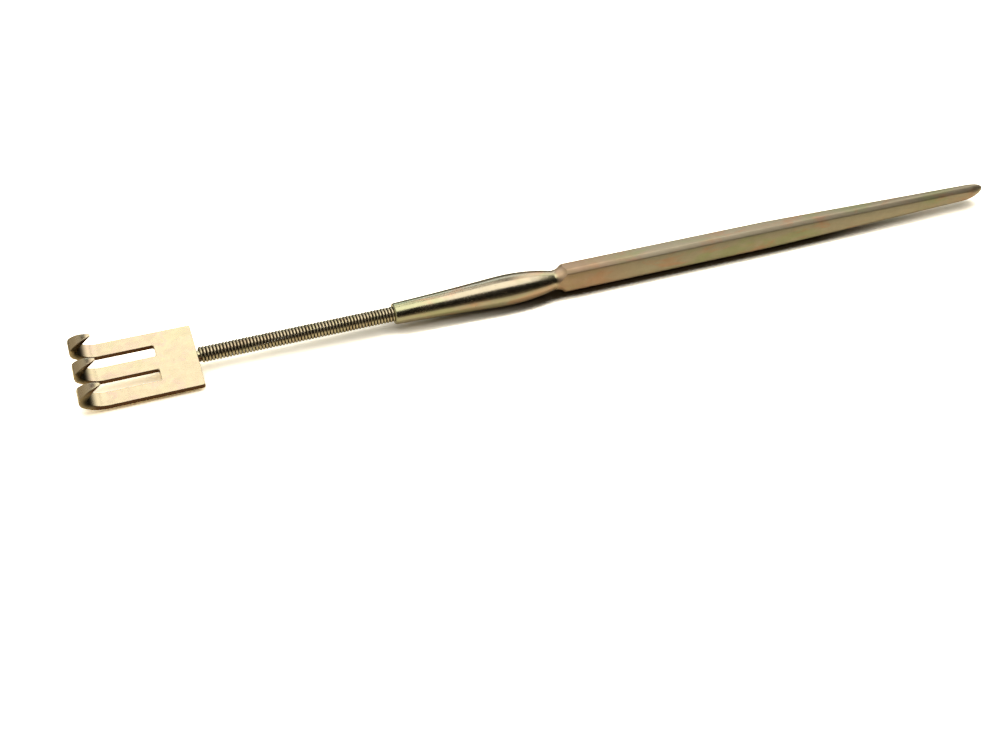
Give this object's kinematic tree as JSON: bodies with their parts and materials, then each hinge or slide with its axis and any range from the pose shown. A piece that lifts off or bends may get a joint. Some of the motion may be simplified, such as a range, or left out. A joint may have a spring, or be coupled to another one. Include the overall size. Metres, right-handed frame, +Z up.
{
  "type": "surgical retractor",
  "caption": "Handheld surgical retractor: slotted rake plate with upturned claw prongs, flexible close-wound coil shank, turned baluster and tapered octagonal steel handle.",
  "frame": {"origin": "middle of the flat underside of the handle's octagonal bar, where it rests on a table", "axes": "+X along the handle towards its tapered tail, with the rake at -X; +Z up, the way the hooks curl; -Y is the side the picture is taken from"},
  "size_m": [0.1664, 0.0125, 0.008],
  "materials": {
    "handle_steel": "satin",
    "coil_steel": "satin",
    "rake_steel": "satin"
  },
  "bodies": {
    "grip": {"handle": "handle_steel", "coil_spring": "coil_steel"},
    "rake": {"rake_blade": "rake_steel"}
  },
  "joints": [
    {"name": "shank_flex", "type": "hinge", "parent": "grip", "child": "rake", "pos_m": [-0.06425, 0, 0.0022], "axis": [0, 0.9613, 0.2756], "range_deg": [-45, 45], "stiffness_Nm_per_rad": 0.003, "deforming": ["coil_spring"]}
  ]
}
